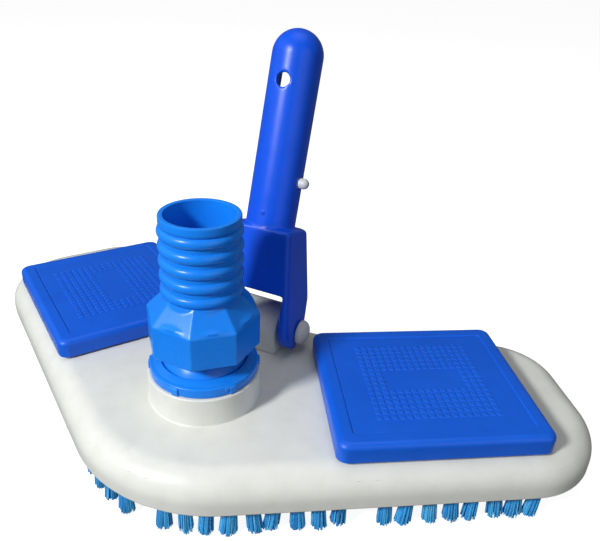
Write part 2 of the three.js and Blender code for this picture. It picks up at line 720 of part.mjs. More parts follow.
const head = new THREE.Group();
head.position.set(0, SWIVEL_Y, TOP_Z);
head.add(
  mesh("base_housing", baseHousing(), white),
  mesh("ball_seal", ballSeal(), rubber),
  mesh("ball_seat", ballSeat(), nylon),
  mesh("swivel_ball", swivelBall(), swivelBlue),
  mesh("lock_ring", lockRing(), swivelBlue),
  mesh("hose_connector", hoseConnector(), swivelBlue),
  mesh("pivot_lug", pivotLug(), white),
  mesh("pivot_pin", pivotPin(), nylon),
  mesh("pin_cap", pinCap(), nylon),
);

for (const side of [1, -1]) {
  const name = sideName(side);
  head.add(mesh("weight_cover_" + name, onWing(weightCover(), side), coverBlue));
  head.add(mesh("weight_" + name, onWing(coverWeight(), side), iron));
  coverCorners.forEach(([u, v], i) => {
    const fitted = onWing(moved(screw(SCREW), u, v, -ROOF), side);
    head.add(mesh("cover_screw_" + name + "_" + (i + 1), fitted, steel));
  });
  const lugScrew = moved(screw(SCREW), side * LUG_SCREW_X, PIN.y, LUG_SCREW_SEAT.z);
  head.add(mesh("lug_screw_" + name, lugScrew, steel));
}

for (const strip of strips) {
  head.add(mesh("brush_strip_" + strip.name, brushStrip(strip), stripBlue));
  head.add(mesh("bristles_" + strip.name, bristles(strip), bristleBlue));
  strip.screws.forEach((at, i) => {
    const { x, y } = onBrushLine(at, strip.side);
    const fitted = moved(screw(STRIP_SCREW), x, y, STRIP.foot);
    head.add(mesh("strip_screw_" + strip.name + "_" + (i + 1), fitted, steel));
  });
}

const handleFrame = new THREE.Group();
handleFrame.position.set(0, PIN.y, PIN.z);
handleFrame.rotation.x = -TILT;
handleFrame.add(
  mesh("handle", handle(), handleBlue),
  mesh("spring_clip", springClip(), steel),
  mesh("snap_button", snapButton(), nylon),
);
head.add(handleFrame);

const pool_head = new THREE.Group();
pool_head.add(head);

export default pool_head;
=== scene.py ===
"""Looks of a swept-wing pool suction and brush head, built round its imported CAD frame.

Meshes are made in millimetres, heights from the base's flat top, about the swivel axis or, for the
handle, about its pivot pin; each is then put in the row frame in metres.
"""

import math
import random

import bmesh
import bpy
from mathutils import Matrix, Vector


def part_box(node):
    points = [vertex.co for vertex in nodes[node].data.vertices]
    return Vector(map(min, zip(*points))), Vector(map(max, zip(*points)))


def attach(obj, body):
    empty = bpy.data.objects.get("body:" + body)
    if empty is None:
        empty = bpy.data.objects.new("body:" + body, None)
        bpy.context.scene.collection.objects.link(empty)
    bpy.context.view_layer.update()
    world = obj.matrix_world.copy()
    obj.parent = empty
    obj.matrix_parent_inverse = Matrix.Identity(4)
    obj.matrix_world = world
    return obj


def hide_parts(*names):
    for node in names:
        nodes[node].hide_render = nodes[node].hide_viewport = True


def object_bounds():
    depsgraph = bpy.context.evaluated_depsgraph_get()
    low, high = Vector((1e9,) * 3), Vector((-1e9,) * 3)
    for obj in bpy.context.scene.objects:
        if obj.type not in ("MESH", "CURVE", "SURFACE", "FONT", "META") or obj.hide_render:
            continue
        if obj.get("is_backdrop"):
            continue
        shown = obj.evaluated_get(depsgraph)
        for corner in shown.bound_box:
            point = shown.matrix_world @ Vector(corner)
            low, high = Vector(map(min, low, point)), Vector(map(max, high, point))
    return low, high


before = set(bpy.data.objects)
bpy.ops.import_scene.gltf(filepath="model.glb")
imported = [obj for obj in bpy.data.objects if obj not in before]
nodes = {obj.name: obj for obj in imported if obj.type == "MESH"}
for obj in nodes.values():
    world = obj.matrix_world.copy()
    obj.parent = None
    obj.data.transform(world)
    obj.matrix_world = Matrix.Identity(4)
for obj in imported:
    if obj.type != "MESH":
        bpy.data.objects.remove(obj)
cad_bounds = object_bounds()

MM = 0.001
TAU = 2 * math.pi

# ------------------------------------------------------------------ where things are
COLLAR_TOP = 16.5  # collar above the flat top
hose_low, hose_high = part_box("hose_connector")
pin_low, pin_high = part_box("pivot_pin")
flat_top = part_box("base_housing")[1].z - COLLAR_TOP * MM
swivel_y = (hose_low.y + hose_high.y) / 2
TILT = math.radians(17.05)  # handle leaning back

HEAD = Matrix.Translation((0, swivel_y, flat_top)) @ Matrix.Scale(MM, 4)
PIN = Vector((0, (pin_low.y + pin_high.y) / 2, (pin_low.z + pin_high.z) / 2))
PIVOT = Matrix.Translation(PIN) @ Matrix.Scale(MM, 4)
HANDLE = Matrix.Translation(PIN) @ Matrix.Rotation(-TILT, 4, "X") @ Matrix.Scale(MM, 4)


# ------------------------------------------------------------------ mesh building
def finish_bmesh(bm, name="part"):
    bmesh.ops.remove_doubles(bm, verts=bm.verts, dist=1e-4)
    bmesh.ops.recalc_face_normals(bm, faces=bm.faces)
    mesh = bpy.data.meshes.new(name)
    bm.to_mesh(mesh)
    bm.free()
    return mesh


def walls(bm, loops, wrap=False):
    """Faces from each loop of vertices to the next, and from the last to the first if it wraps."""
    for low, high in zip(loops, loops[1:] + (loops[:1] if wrap else [])):
        for i in range(len(low)):
            j = (i + 1) % len(low)
            bm.faces.new((low[i], low[j], high[j], high[i]))


def skin(rings, wrap=False):
    """A closed mesh through rings of equal length, with flat ends unless it wraps round."""
    bm = bmesh.new()
    loops = [[bm.verts.new(p) for p in ring] for ring in rings]
    walls(bm, loops, wrap)
    if not wrap:
        bm.faces.new(list(reversed(loops[0])))
        bm.faces.new(loops[-1])
    return finish_bmesh(bm)


def rounded(points, closed=True, steps=4):
    """A polyline whose corners (x, y, radius) are turned into arcs."""
    out = []
    count = len(points)
    for i, (x, y, radius) in enumerate(points):
        here = Vector((x, y))
        end = not closed and i in (0, count - 1)
        if radius <= 0 or end:
            out.append((x, y))
            continue
        back = (Vector(points[i - 1][:2]) - here).normalized()
        ahead = (Vector(points[(i + 1) % count][:2]) - here).normalized()
        half = back.angle(ahead) / 2
        if half > math.pi / 2 - 1e-3:
            out.append((x, y))
            continue
        middle = here + (back + ahead).normalized() * (radius / math.sin(half))
        start = here + back * (radius / math.tan(half)) - middle
        stop = here + ahead * (radius / math.tan(half)) - middle
        turn = start.angle_signed(stop)
        for s in range(steps + 1):
            a = -turn * s / steps
            p = Vector(
                (
                    start.x * math.cos(a) - start.y * math.sin(a),
                    start.x * math.sin(a) + start.y * math.cos(a),
                )
            )
            out.append(tuple(middle + p))
    return out


def lathe(profile, segments=96, wrap=True):
    """A profile of (radius, height) turned about Z. wrap joins its last point to its first."""
    rings = [
        [
            (r * math.cos(TAU * k / segments), r * math.sin(TAU * k / segments), z)
            for k in range(segments)
        ]
        for r, z in profile
    ]
    bm = bmesh.new()
    walls(bm, [[bm.verts.new(p) for p in ring] for ring in rings], wrap)
    bmesh.ops.remove_doubles(bm, verts=bm.verts, dist=1e-4)
    loose = [f for f in bm.faces if f.calc_area() < 1e-9]
    bmesh.ops.delete(bm, geom=loose, context="FACES")
    return finish_bmesh(bm)


def block(size, centre, bevel=0.0, steps=3):
    bm = bmesh.new()
    bmesh.ops.create_cube(bm, size=1)
    bmesh.ops.scale(bm, vec=size, verts=bm.verts)
    bmesh.ops.translate(bm, vec=centre, verts=bm.verts)
    if bevel:
        bmesh.ops.bevel(
            bm, geom=bm.edges[:], offset=bevel, segments=steps, affect="EDGES", profile=0.5
        )
    return finish_bmesh(bm)


def merged(*meshes):
    bm = bmesh.new()
    for mesh in meshes:
        bm.from_mesh(mesh)
    bmesh.ops.recalc_face_normals(bm, faces=bm.faces)
    out = bpy.data.meshes.new("part")
    bm.to_mesh(out)
    bm.free()
    return out


def placed(mesh, matrix):
    out = mesh.copy()
    out.transform(matrix)
    if matrix.determinant() < 0:
        out.flip_normals()
    return out


def applied(mesh, *modifiers):
    """The mesh after modifiers, each a (type, settings) pair, with any mesh among them made an object."""
    made = bpy.data.objects.new("temporary", mesh)
    bpy.context.scene.collection.objects.link(made)
    helpers = [made]
    for kind, settings in modifiers:
        modifier = made.modifiers.new(kind, kind)
        for key, value in settings.items():
            if isinstance(value, bpy.types.Mesh):
                value = bpy.data.objects.new("helper", value)
                bpy.context.scene.collection.objects.link(value)
                helpers.append(value)
            setattr(modifier, key, value)
    graph = bpy.context.evaluated_depsgraph_get()
    out = bpy.data.meshes.new_from_object(made.evaluated_get(graph))
    for each in helpers:
        bpy.data.objects.remove(each)
    return out


def combined(operation, mesh, others):
    settings = {"operation": operation, "solver": "EXACT"}
    return applied(mesh, *[("BOOLEAN", {**settings, "object": other}) for other in others])


def cut(mesh, *tools):
    return combined("DIFFERENCE", mesh, tools)


def fused(mesh, *others):
    return combined("UNION", mesh, others)


def softened(mesh, voxel, rounds):
    """Every edge slightly rounded, as moulding leaves it."""
    return applied(
        mesh,
        ("REMESH", {"mode": "VOXEL", "voxel_size": voxel}),
        ("SMOOTH", {"factor": 0.5, "iterations": rounds}),
    )


along_x = Matrix.Rotation(math.pi / 2, 4, "Y")
along_y = Matrix.Rotation(-math.pi / 2, 4, "X")
mirror_x = Matrix.Scale(-1, 4, (1, 0, 0))


def moved(x, y, z):
    return Matrix.Translation((x, y, z))


def piece(name, mesh, material, body, matrix=HEAD, replaces=(), crease=32):
    mesh = placed(mesh, matrix)
    mesh.name = name
    mesh.materials.clear()
    mesh.materials.append(material)
    mesh.polygons.foreach_set("use_smooth", [True] * len(mesh.polygons))
    mesh.set_sharp_from_angle(angle=math.radians(crease))
    made = bpy.data.objects.new(name, mesh)
    bpy.context.scene.collection.objects.link(made)
    normals = made.modifiers.new("normals", "WEIGHTED_NORMAL")
    normals.keep_sharp = True
    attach(made, body)
    if replaces:
        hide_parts(*replaces)
    return made


# ------------------------------------------------------------------ materials
def node(tree, kind, **settings):
    made = tree.nodes.new(kind)
    for key, value in settings.items():
        if key in made.inputs:
            made.inputs[key].default_value = value
        else:
            setattr(made, key, value)
    return made


def noise_at(tree, scale, detail=3.0, roughness=0.55, stretch=(1, 1, 1)):
    place = node(tree, "ShaderNodeTexCoord")
    mapping = node(tree, "ShaderNodeMapping")
    mapping.inputs["Scale"].default_value = stretch
    tree.links.new(place.outputs["Object"], mapping.inputs["Vector"])
    made = node(tree, "ShaderNodeTexNoise", Scale=scale, Detail=detail, Roughness=roughness)
    tree.links.new(mapping.outputs["Vector"], made.inputs["Vector"])
    return made.outputs["Fac"]


def ramp(tree, value, low, high, start=0.3, stop=0.7):
    made = node(tree, "ShaderNodeValToRGB")
    made.color_ramp.elements[0].position = start
    made.color_ramp.elements[0].color = (*low, 1)
    made.color_ramp.elements[1].position = stop
    made.color_ramp.elements[1].color = (*high, 1)
    tree.links.new(value, made.inputs["Fac"])
    return made.outputs["Color"]


def spread(tree, value, low, high):
    made = node(tree, "ShaderNodeMapRange")
    made.inputs["From Min"].default_value = 0.3
    made.inputs["From Max"].default_value = 0.7
    made.inputs["To Min"].default_value = low
    made.inputs["To Max"].default_value = high
    tree.links.new(value, made.inputs["Value"])
    return made.outputs["Result"]


def blend_colour(tree, factor, first, second, how="MIX"):
    made = node(tree, "ShaderNodeMix", data_type="RGBA", blend_type=how)
    if isinstance(factor, float):
        made.inputs["Factor"].default_value = factor
    else:
        tree.links.new(factor, made.inputs["Factor"])
    tree.links.new(first, made.inputs[6])
    if isinstance(second, tuple):
        made.inputs[7].default_value = (*second, 1)
    else:
        tree.links.new(second, made.inputs[7])
    return made.outputs[2]


def material(name):
    made = bpy.data.materials.new(name)
    made.use_nodes = True
    tree = made.node_tree
    shader = tree.nodes["Principled BSDF"]
    return made, tree, shader


def bump(tree, shader, height, strength, distance):
    made = node(tree, "ShaderNodeBump", Strength=strength, Distance=distance)
    tree.links.new(height, made.inputs["Height"])
    tree.links.new(made.outputs["Normal"], shader.inputs["Normal"])
    return made


FINE_GRAIN = 1400.0


def moulded(name, light, dark, rough, edge):
    """Injection-moulded plastic: slow colour drift, fine flow streaks, a painted highlight on convex
    edges, fine grain.
    """
    made, tree, shader = material(name)
    drift = ramp(tree, noise_at(tree, 14.0, 3.0), dark, light)
    streak = ramp(
        tree, noise_at(tree, 90.0, 5.0, 0.6), (0.94, 0.94, 0.94), (1.0, 1.0, 1.0), 0.3, 0.6
    )
    colour = blend_colour(tree, 1.0, drift, streak, "MULTIPLY")
    # painted highlight: convex edges (high pointiness) are mixed toward the paler edge colour
    shape = node(tree, "ShaderNodeNewGeometry")
    edge_highlight = node(tree, "ShaderNodeMapRange")
    edge_highlight.inputs["From Min"].default_value = 0.53
    edge_highlight.inputs["From Max"].default_value = 0.62
    edge_highlight.inputs["To Max"].default_value = 0.45
    tree.links.new(shape.outputs["Pointiness"], edge_highlight.inputs["Value"])
    colour = blend_colour(tree, edge_highlight.outputs["Result"], colour, edge)
    tree.links.new(colour, shader.inputs["Base Color"])
    patches = noise_at(tree, 60.0, 4.0, 0.6)
    tree.links.new(spread(tree, patches, rough - 0.05, rough + 0.07), shader.inputs["Roughness"])
    shader.inputs["IOR"].default_value = 1.5
    shader.inputs["Specular IOR Level"].default_value = 0.3
    bump(tree, shader, noise_at(tree, FINE_GRAIN, 2.0), 0.12, 0.00012)
    return made


WHITE = moulded(
    "white_plastic", (0.70, 0.715, 0.675), (0.665, 0.68, 0.645), 0.32, edge=(0.76, 0.77, 0.74)
)
COVER_BLUE = moulded(
    "cover_plastic", (0.004, 0.11, 0.68), (0.003, 0.096, 0.62), 0.38, edge=(0.02, 0.16, 0.70)
)
SWIVEL_BLUE = moulded(
    "swivel_plastic", (0.008, 0.225, 0.86), (0.006, 0.20, 0.80), 0.30, edge=(0.04, 0.34, 0.88)
)
HANDLE_BLUE = moulded(
    "handle_plastic", (0.003, 0.09, 0.74), (0.002, 0.078, 0.68), 0.34, edge=(0.02, 0.17, 0.72)
)
STRIP_BLUE = moulded(
    "strip_plastic", (0.015, 0.11, 0.42), (0.012, 0.09, 0.36), 0.5, edge=(0.03, 0.16, 0.5)
)
NYLON = moulded(
    "white_nylon", (0.60, 0.62, 0.63), (0.54, 0.56, 0.58), 0.38, edge=(0.70, 0.71, 0.72)
)


def bristle_material():
    made, tree, shader = material("nylon_bristle")
    shape = node(tree, "ShaderNodeNewGeometry")
    island = shape.outputs["Random Per Island"]
    own = ramp(tree, island, (0.02, 0.30, 0.76), (0.12, 0.58, 0.95), 0, 1)
    along = ramp(tree, noise_at(tree, 500.0, 3.0, 0.5, (1, 1, 0.12)), (0.75, 0.78, 0.82), (1, 1, 1))
    colour = blend_colour(tree, 1.0, own, along, "MULTIPLY")
    tree.links.new(colour, shader.inputs["Base Color"])
    tree.links.new(spread(tree, noise_at(tree, 300.0), 0.36, 0.55), shader.inputs["Roughness"])
    bump(tree, shader, noise_at(tree, 2500.0, 2.0, 0.5, (1, 1, 0.1)), 0.2, 0.0001)
    return made


def rubber_material():
    made, tree, shader = material("black_rubber")
    bloom = ramp(tree, noise_at(tree, 120.0, 4.0), (0.012, 0.012, 0.013), (0.03, 0.03, 0.032))
    tree.links.new(bloom, shader.inputs["Base Color"])
    tree.links.new(spread(tree, noise_at(tree, 200.0), 0.6, 0.85), shader.inputs["Roughness"])
    bump(tree, shader, noise_at(tree, 1800.0, 4.0), 0.3, 0.0002)
    return made


def metal_material(name, light, dark, low, high, stretch, grain):
    made, tree, shader = material(name)
    shader.inputs["Metallic"].default_value = 1.0
    tree.links.new(ramp(tree, noise_at(tree, 80.0, 4.0), dark, light), shader.inputs["Base Color"])
    brushed = noise_at(tree, grain, 4.0, 0.6, stretch)
    tree.links.new(spread(tree, brushed, low, high), shader.inputs["Roughness"])
    bump(tree, shader, brushed, 0.15, 0.0001)
    return made


BRISTLE = bristle_material()
RUBBER = rubber_material()
STEEL = metal_material(
    "stainless", (0.62, 0.62, 0.63), (0.48, 0.48, 0.50), 0.18, 0.36, (1, 1, 0.08), 900.0
)
IRON = metal_material(
    "cast_iron", (0.16, 0.16, 0.17), (0.07, 0.07, 0.075), 0.55, 0.8, (1, 1, 1), 500.0
)


# ------------------------------------------------------------------ plan of the base
SWEEP = math.radians(31.76)
NOSE_R, LEAD_R, TAIL_R, REAR_R = 85, 45, 38, 200
LEAD_V, TIP_U, REAR_Y = 69, 209.5, 88
BASE_H, EDGE_R, RIM_R, WALL, ROOF = 20.7, 14, 1.2, 2.5, 3


def on_wing(u, v):
    return (
        u * math.cos(SWEEP) - v * math.sin(SWEEP),
        u * math.sin(SWEEP) + v * math.cos(SWEEP),
    )


nose_centre = (0, (NOSE_R - LEAD_V) / math.cos(SWEEP))
lead_centre = on_wing(TIP_U - LEAD_R, LEAD_R - LEAD_V)
rear_centre = (0, REAR_Y + REAR_R)
tail_u = TIP_U - TAIL_R
tail_v = rear_centre[1] * math.cos(SWEEP) - math.sqrt(
    (REAR_R + TAIL_R) ** 2 - (rear_centre[1] * math.sin(SWEEP) - tail_u) ** 2
)
tail_centre = on_wing(tail_u, tail_v)
tail_turn = math.atan2(rear_centre[1] - tail_centre[1], rear_centre[0] - tail_centre[0])


def arc(centre, radius, start, stop, steps):
    return [
        (
            centre[0] + radius * math.cos(start + (stop - start) * i / steps),
            centre[1] + radius * math.sin(start + (stop - start) * i / steps),
        )
        for i in range(steps + 1)
    ]


def half_outline(inset, fine):
    """Right half of the outline, from the nose round to the middle of the trailing edge."""
    quarter = math.pi / 2
    return (
        arc(nose_centre, NOSE_R - inset, -quarter, SWEEP - quarter, 6 * fine)
        + arc(lead_centre, LEAD_R - inset, SWEEP - quarter, SWEEP, 8 * fine)
        + arc(tail_centre, TAIL_R - inset, SWEEP, tail_turn, 7 * fine)
        + arc(rear_centre, REAR_R + inset, tail_turn - math.pi, -quarter, 8 * fine)
    )


ROUND = 480  # points round each ring of the base


def outline_ring(inset, z):
    """The outline at even angles about the swivel axis."""
    right = half_outline(inset, 10)
    points = right + [(-x, y) for x, y in reversed(right)][1:-1]
    count = len(points)
    start = math.atan2(points[0][1], points[0][0])
    angles = [(math.atan2(y, x) - start) % TAU for x, y in points]
    ring = []
    at = 0
    for k in range(ROUND):
        angle = TAU * k / ROUND
        while at + 1 < count and angles[at + 1] <= angle:
            at += 1
        ax, ay = points[at]
        bx, by = points[(at + 1) % count]
        dx, dy = math.cos(angle + start), math.sin(angle + start)
        reach = (ax * by - ay * bx) / (dx * (by - ay) - dy * (bx - ax))
        ring.append((reach * dx, reach * dy, z))
    return ring


def circle_ring(radius, z):
    return [
        (
            radius * math.sin(TAU * k / ROUND),
            -radius * math.cos(TAU * k / ROUND),
            z,
        )
        for k in range(ROUND)
    ]


def quarter_rings(inset, z, radius, steps):
    """From the foot of a rounded top edge up to where it meets the flat."""
    for i in range(steps + 1):
        a = math.pi / 2 * i / steps
        yield outline_ring(inset + radius * (1 - math.cos(a)), z - radius + radius * math.sin(a))


def base_mesh():
    rings = [
        outline_ring(RIM_R, -BASE_H),
        outline_ring(0.55, 0.2 - BASE_H),
        outline_ring(0.15, 0.6 - BASE_H),
        outline_ring(0, RIM_R - BASE_H),
        outline_ring(0, -EDGE_R - 1),
        *quarter_rings(0, 0, EDGE_R, 14),
        outline_ring(EDGE_R + 1.5, 0),
    ]
    collar = rounded(
        [
            (36, 0, 0), (30, 0, 0.9), (30, COLLAR_TOP, 0.8), (27.5, COLLAR_TOP, 0.4),
            (27.5, -10.5, 0.5), (18, -10.5, 0.4), (18, -14, 0.4), (30, -14, 0.6),
            (30, -ROOF, 1.2), (36, -ROOF, 0),
        ],
        closed=False,
        steps=3,
    )
    rings += [circle_ring(r, z) for r, z in collar]
    inside = list(quarter_rings(WALL, -ROOF, EDGE_R - ROOF, 8))
    rings += [outline_ring(EDGE_R + 1.5, -ROOF)] + inside[::-1]
    rings += [outline_ring(WALL, -18), outline_ring(WALL, 0.3 - BASE_H)]
    rings += [outline_ring(WALL - 0.3, -BASE_H)]
    return skin(rings, wrap=True)


COVER_U, COVER_V = 118.1, -11.9
COVER_LONG, COVER_WIDE = 110, 98.5
COVER_FOOT, COVER_H = 1.3, 12.2


def wing_matrix(side):
    x, y = on_wing(COVER_U, COVER_V)
    return Matrix.Translation((side * x, y, 0)) @ Matrix.Rotation(side * SWEEP, 4, "Z")


def rectangle_ring(margin, radius, z, steps=8):
    x, y = COVER_LONG / 2 - margin - radius, COVER_WIDE / 2 - margin - radius
    quarter = math.pi / 2
    flat = (
        arc((x, y), radius, 0, quarter, steps)
        + arc((-x, y), radius, quarter, 2 * quarter, steps)
        + arc((-x, -y), radius, 2 * quarter, 3 * quarter, steps)
        + arc((x, -y), radius, 3 * quarter, 4 * quarter, steps)
    )
    return [(px, py, z) for px, py in flat]


piece("base_shell", base_mesh(), WHITE, "head", replaces=["base_housing"])

seat_ring = [(3, 3.8, -0.8), (3, 3.8, 0.7), (3.3, 3.6, 1.0)]
for side, name in ((1, "right"), (-1, "left")):
    seat = skin([rectangle_ring(m, r, z) for m, r, z in seat_ring])
    piece("cover_seat_" + name, placed(seat, wing_matrix(side)), WHITE, "head")


# ------------------------------------------------------------------ brushes
BRUSH_INSET = 6
STRIP_END = 11.4
STRIP_FOOT, TIP_Z = -18.5, -36.0
FRONT_JOINT = 3
brush_line = half_outline(BRUSH_INSET, 4)
steps_along = [math.dist(a, b) for a, b in zip(brush_line, brush_line[1:])]
brush_length = sum(steps_along)


def on_brush_line(distance, side):
    left = abs(distance)
    half = -side if distance < 0 else side
    for (x0, y0), (x1, y1), step in zip(brush_line, brush_line[1:], steps_along):
        if step and left <= step:
            t = left / step
            ahead = -1 if distance < 0 else 1
            turn = math.atan2(ahead * (y1 - y0), ahead * half * (x1 - x0))
            return half * (x0 + t * (x1 - x0)), y0 + t * (y1 - y0), turn
        left -= step
    raise ValueError("past the end of the brush line")


def strip_rows():
    for side, name in ((1, "right"), (-1, "left")):
        start = FRONT_JOINT * side
        yield "front_inner_" + name, side, start, 9, 10.7
        start += 2 * STRIP_END + 8 * 10.7
        yield "front_outer_" + name, side, start, 8, 11.2
        yield "rear_" + name, side, brush_length - 9 - 2 * STRIP_END - 9 * 10.9, 10, 10.9


FILAMENTS = 110
dice = random.Random(7)


def filament(bm, points, radii):
    """A four-sided strand through points, closed at both ends."""
    rings = []
    spin = dice.uniform(0, TAU)
    for (x, y, z), r in zip(points, radii):
        rings.append(
            [
                bm.verts.new((x + r * math.cos(spin + a), y + r * math.sin(spin + a), z))
                for a in (0, TAU / 4, TAU / 2, 3 * TAU / 4)
            ]
        )
    walls(bm, rings)
    bm.faces.new(list(reversed(rings[0])))
    bm.faces.new(rings[-1])


def tuft(bm, x, y, turn):
    """One bundle of filaments, leaning and flaring as a whole, its tips cut nearly flush."""
    outward = Vector((math.sin(turn), -math.cos(turn)))
    along = Vector((math.cos(turn), math.sin(turn)))
    lean_along = dice.gauss(0, 1.0)
    lean_out = 0.6 + dice.gauss(0, 0.5)
    fan = dice.uniform(1.15, 1.5)
    length = dice.gauss(0, 0.35)
    for _ in range(FILAMENTS):
        spot = math.sqrt(dice.random())
        where = dice.uniform(0, TAU)
        root_a, root_o = 3.2 * spot * math.cos(where), 2.1 * spot * math.sin(where)
        stray = 2.6 if dice.random() < 0.05 else 1.0
        tip_a = root_a * fan + lean_along + dice.gauss(0, 0.16) * stray
        tip_o = root_o * 1.5 + lean_out + dice.gauss(0, 0.16) * stray
        bend = dice.gauss(0, 0.1)
        tip = TIP_Z + abs(length + dice.gauss(0, 0.3)) * stray + 0.06 * (tip_a - lean_along) ** 2
        points = []
        for t in (0, 0.35, 0.7, 1):
            grow = t ** 1.35
            a = root_a + (tip_a - root_a) * grow + bend * math.sin(math.pi * t)
            o = root_o + (tip_o - root_o) * grow + bend * math.sin(math.pi * t) * 0.6
            p = Vector((x, y)) + along * a + outward * o
            points.append((p.x, p.y, STRIP_FOOT + 0.4 + (tip - STRIP_FOOT - 0.4) * t))
        thick = dice.uniform(0.32, 0.42)
        filament(bm, points, (thick, thick, thick, thick * 0.85))


for row, side, start, tufts, pitch in strip_rows():
    bm = bmesh.new()
    for i in range(tufts):
        tuft(bm, *on_brush_line(start + STRIP_END + i * pitch, side))
    bmesh.ops.recalc_face_normals(bm, faces=bm.faces)
    strands = bpy.data.meshes.new("strands")
    bm.to_mesh(strands)
    bm.free()
    piece(
        "tufts_" + row, strands, BRISTLE, "head",
        replaces=["bristles_" + row], crease=60,
    )


# ------------------------------------------------------------------ covers
STUD_COLUMNS, STUD_ROWS = 17, 16
STUD_PITCH_U, STUD_PITCH_V = 3.9, 4.0
STUD_HALF, STUD_TOP_HALF, STUD_H = 1.45, 1.12, 0.5
BLANK_U, BLANK_V = (3, 14), (6, 10)  # columns and rows left plain in the middle
PANEL_Z = COVER_H - 0.5


def cover_mesh():
    rings = [rectangle_ring(3.2, 3.0, 9.7), rectangle_ring(2.5, 3.4, 9.2)]
    rings += [rectangle_ring(2.5, 3.4, 1.6), rectangle_ring(2.3, 3.6, COVER_FOOT)]
    rings += [rectangle_ring(0.4, 5.2, COVER_FOOT)]
    rings += [rectangle_ring(0.05, 5.5, COVER_FOOT + 0.4)]
    edge = 3.5
    for i in range(9):
        a = math.pi / 2 * i / 8
        inset = edge * (1 - math.cos(a))
        rings.append(rectangle_ring(inset, 5.5 - 0.5 * inset, COVER_H - edge + edge * math.sin(a)))
    rings += [rectangle_ring(7.9, 2.2, COVER_H), rectangle_ring(8.2, 2.1, COVER_H - 0.06)]
    rings += [rectangle_ring(8.75, 1.9, PANEL_Z - 0.1), rectangle_ring(9.3, 1.7, PANEL_Z - 0.1)]
    rings += [rectangle_ring(9.7, 1.5, PANEL_Z)]
    bm = bmesh.new()
    loops = [[bm.verts.new(p) for p in ring] for ring in rings]
    walls(bm, loops)
    bm.faces.new(list(reversed(loops[0])))

    def lines(count, pitch):
        centres = [(i - (count - 1) / 2) * pitch for i in range(count)]
        sides = [c + s * STUD_HALF for c in centres for s in (-1, 1)]
        return [centres[0] - pitch] + sides + [centres[-1] + pitch]

    us, vs = lines(STUD_COLUMNS, STUD_PITCH_U), lines(STUD_ROWS, STUD_PITCH_V)
    grid = [[bm.verts.new((u, v, PANEL_Z)) for u in us] for v in vs]
    for r in range(len(vs) - 1):
        for c in range(len(us) - 1):
            corners = [grid[r][c], grid[r][c + 1], grid[r + 1][c + 1], grid[r + 1][c]]
            column, line = (c - 1) // 2, (r - 1) // 2
            blank = BLANK_U[0] <= column < BLANK_U[1] and BLANK_V[0] <= line < BLANK_V[1]
            if c % 2 == 0 or r % 2 == 0 or blank:
                bm.faces.new(corners)
                continue
            middle = sum((k.co for k in corners), Vector()) / 4
            shrink = STUD_TOP_HALF / STUD_HALF
            mid, top = (
                [bm.verts.new(middle + (k.co - middle) * size + Vector((0, 0, up))) for k in corners]
                for size, up in ((0.35 + 0.65 * shrink, STUD_H * 0.72), (shrink * 0.86, STUD_H))
            )
            walls(bm, [corners, mid, top])
            bm.faces.new(top)
    border = grid[0][:] + [row[-1] for row in grid[1:]]
    border += grid[-1][-2::-1] + [row[0] for row in grid[-2:0:-1]]
    edges = []
    for loop in (loops[-1], border):
        for a, b in zip(loop, loop[1:] + loop[:1]):
            edges.append(bm.edges.get((a, b)) or bm.edges.new((a, b)))
    bmesh.ops.bridge_loops(bm, edges=edges)
    return finish_bmesh(bm)


cover = cover_mesh()
for side, name in ((1, "right"), (-1, "left")):
    piece(
        "cover_" + name, placed(cover, wing_matrix(side)), COVER_BLUE, "head",
        replaces=["weight_cover_" + name],
    )


# ------------------------------------------------------------------ hose swivel
BALL_R, BALL_Z, BALL_WALL, BALL_MOUTH = 25, 11, 2.6, 18.5  # mouth below the ball's centre
STEM_R, STEM_TOP, SOCKET_R = 17.5, 49, 18.1
RING_R, RING_TOP = 28.5, 21.8
FLARE_FOOT, FLARE_SHOULDER, FLARE_TOP = 33.3, 51.8, 60.8
FLARE_R, NECK_R = 29.5, 20.8
FLARE_TURN = math.radians(21.3)
SPIGOT_TOP, SPIGOT_R, RIB_R, GROOVE_R = 104.4, 20, 20.9, 19.2
RIB_Z, RIB_PITCH, BORE_R = 65.4, 7.75, 17.4


def sphere_band(radius, low, high, steps):
    heights = [low + (high - low) * i / steps for i in range(steps + 1)]
    return [(math.sqrt(radius**2 - (z - BALL_Z) ** 2), z) for z in heights]


def ball_mesh():
    mouth, neck = BALL_Z - BALL_MOUTH, BALL_Z + math.sqrt(BALL_R**2 - STEM_R**2)
    bore = STEM_R - BALL_WALL
    inner_neck = BALL_Z + math.sqrt((BALL_R - BALL_WALL) ** 2 - bore**2)
    outer = sphere_band(BALL_R, mouth, neck, 28)
    stem = [(STEM_R, 44), (STEM_R + 0.5, 45), (STEM_R + 0.5, 46.5)]
    stem += [(STEM_R - 0.6, STEM_TOP), (bore, STEM_TOP)]
    return lathe(outer + stem + sphere_band(BALL_R - BALL_WALL, mouth, inner_neck, 20)[::-1])


def lock_ring_mesh():
    ledge = COLLAR_TOP + 0.3
    outside = rounded(
        [
            (27.1, 6.6, 0), (27.1, ledge, 0), (RING_R, ledge, 0.35), (RING_R, RING_TOP, 0.9),
            (26.6, RING_TOP + 0.5, 0.6), (23.0, 24.2, 0.5), (22.3, 23.6, 0),
        ],
        closed=False,
    )
    return lathe(outside + sphere_band(BALL_R + 0.5, 6.6, 23.3, 16)[::-1], 128)


def grip_mesh():
    foot, top = COLLAR_TOP + 0.35, RING_TOP - 0.7
    rib = block((3.6, 2.2, top - foot), (0, -RING_R + 0.2, (top + foot) / 2), 0.45)
    ledge = block((5.6, 1.5, 1.5), (-1.6, -RING_R + 0.1, top - 0.55), 0.4)
    return merged(rib, ledge)


